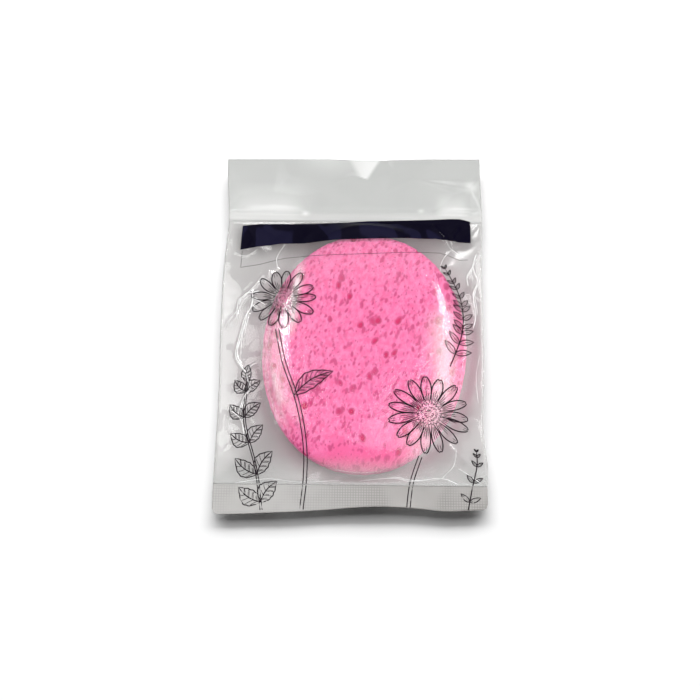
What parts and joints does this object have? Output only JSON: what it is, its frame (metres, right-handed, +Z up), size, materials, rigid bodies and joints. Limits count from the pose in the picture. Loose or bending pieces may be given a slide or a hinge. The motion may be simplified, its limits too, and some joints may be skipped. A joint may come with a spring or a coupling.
{
  "type": "facial cleansing sponge in film pack",
  "caption": "Oval pink cellulose face sponge sealed in a clear flow-wrap film pack with a milky header, a dark printed band and a crimped foot weld.",
  "frame": {"origin": "on the ground under the middle of the pack, which lies on its back", "axes": "+Y along the pack towards its header, +Z up through its front, +X to the right seen from the front"},
  "size_m": [0.1202, 0.1688, 0.0142],
  "materials": {
    "sponge": "matte",
    "pouch_film": "gloss",
    "header_film": "satin",
    "weld_film": "satin",
    "band_ink": "gloss"
  },
  "bodies": {
    "pouch": {"front_film": "pouch_film", "back_film_left": "pouch_film", "back_film_right": "pouch_film", "fin_end_foot": "weld_film", "fin_end_header": "weld_film", "top_seal": "weld_film", "printed_band": "band_ink"},
    "header": {"header_front": "header_film", "header_back": "header_film", "header_fin": "header_film"},
    "foot": {"bottom_seal": "weld_film"},
    "fin": {"fin_seal": "weld_film"},
    "pad": {"sponge": "sponge"}
  },
  "joints": [
    {"name": "header_bend", "type": "hinge", "parent": "pouch", "child": "header", "pos_m": [0, 0.0555, 0.0055], "axis": [1, 0, 0], "range_deg": [-90, 90], "stiffness_Nm_per_rad": 0.002},
    {"name": "foot_bend", "type": "hinge", "parent": "pouch", "child": "foot", "pos_m": [0, -0.0735, 0.0055], "axis": [1, 0, 0], "range_deg": [-90, 90], "stiffness_Nm_per_rad": 0.0004},
    {"name": "fin_lift", "type": "hinge", "parent": "pouch", "child": "fin", "pos_m": [-0.001, 0, 0.0002], "axis": [0, 1, 0], "range_deg": [0, 100], "stiffness_Nm_per_rad": 0.0004},
    {"name": "sponge_shift", "type": "slide", "parent": "pouch", "child": "pad", "axis": [0, 1, 0], "range_m": [-0.0005, 0.0045]}
  ]
}
